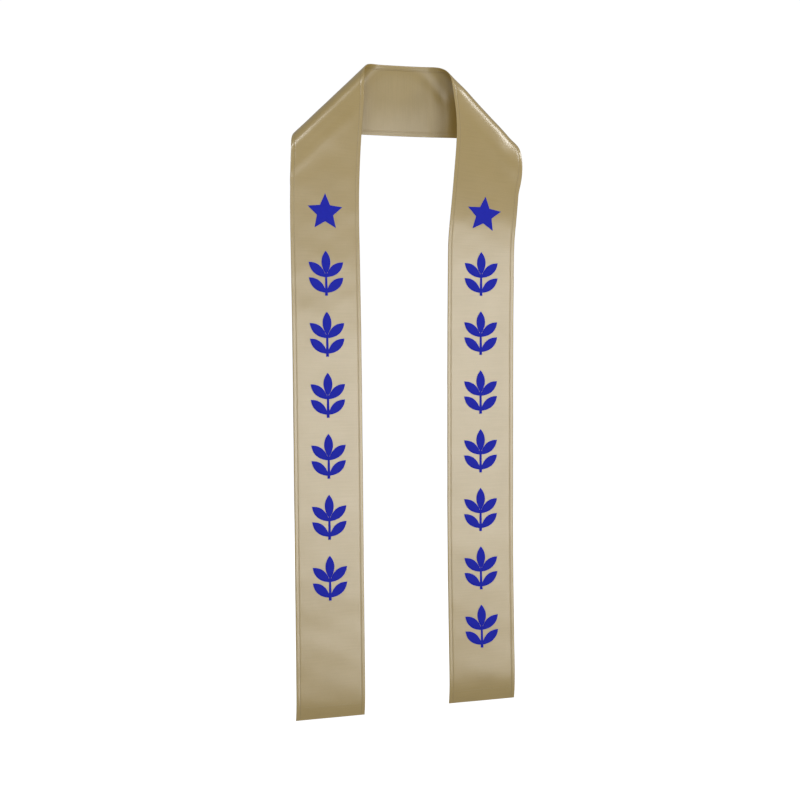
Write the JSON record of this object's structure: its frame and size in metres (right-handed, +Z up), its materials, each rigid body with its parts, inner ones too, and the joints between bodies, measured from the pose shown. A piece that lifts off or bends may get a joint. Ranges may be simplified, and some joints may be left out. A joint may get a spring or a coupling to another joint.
{
  "type": "graduation stole",
  "caption": "Straight satin band worn behind the neck, folded over each shoulder and hanging down the front in two panels, with turned hems and applied blue emblems.",
  "frame": {"origin": "middle of the nape, on the wearer's side of the band, where the stole lies against the back of the neck", "axes": "+Z up, the panels hang towards -Z, and +Y towards the wearer's back, so the front of the stole faces -Y; +X to the right as seen from the front"},
  "size_m": [0.3447, 0.0859, 0.9137],
  "materials": {
    "satin": "champagne gold satin, soft sheen",
    "satin_wrong_side": "turned satin hem, dull side",
    "emblem_film": "royal blue applied film, matt"
  },
  "bodies": {
    "root": {"satin_band": "satin", "inner_edge_hem": "satin_wrong_side", "outer_edge_hem": "satin_wrong_side", "left_end_hem": "satin_wrong_side", "right_end_hem": "satin_wrong_side", "left_star": "emblem_film", "left_sprig_1": "emblem_film", "left_sprig_2": "emblem_film", "left_sprig_3": "emblem_film", "left_sprig_4": "emblem_film", "left_sprig_5": "emblem_film", "left_sprig_6": "emblem_film", "right_star": "emblem_film", "right_sprig_1": "emblem_film", "right_sprig_2": "emblem_film", "right_sprig_3": "emblem_film", "right_sprig_4": "emblem_film", "right_sprig_5": "emblem_film", "right_sprig_6": "emblem_film", "right_sprig_7": "emblem_film"}
  },
  "joints": []
}
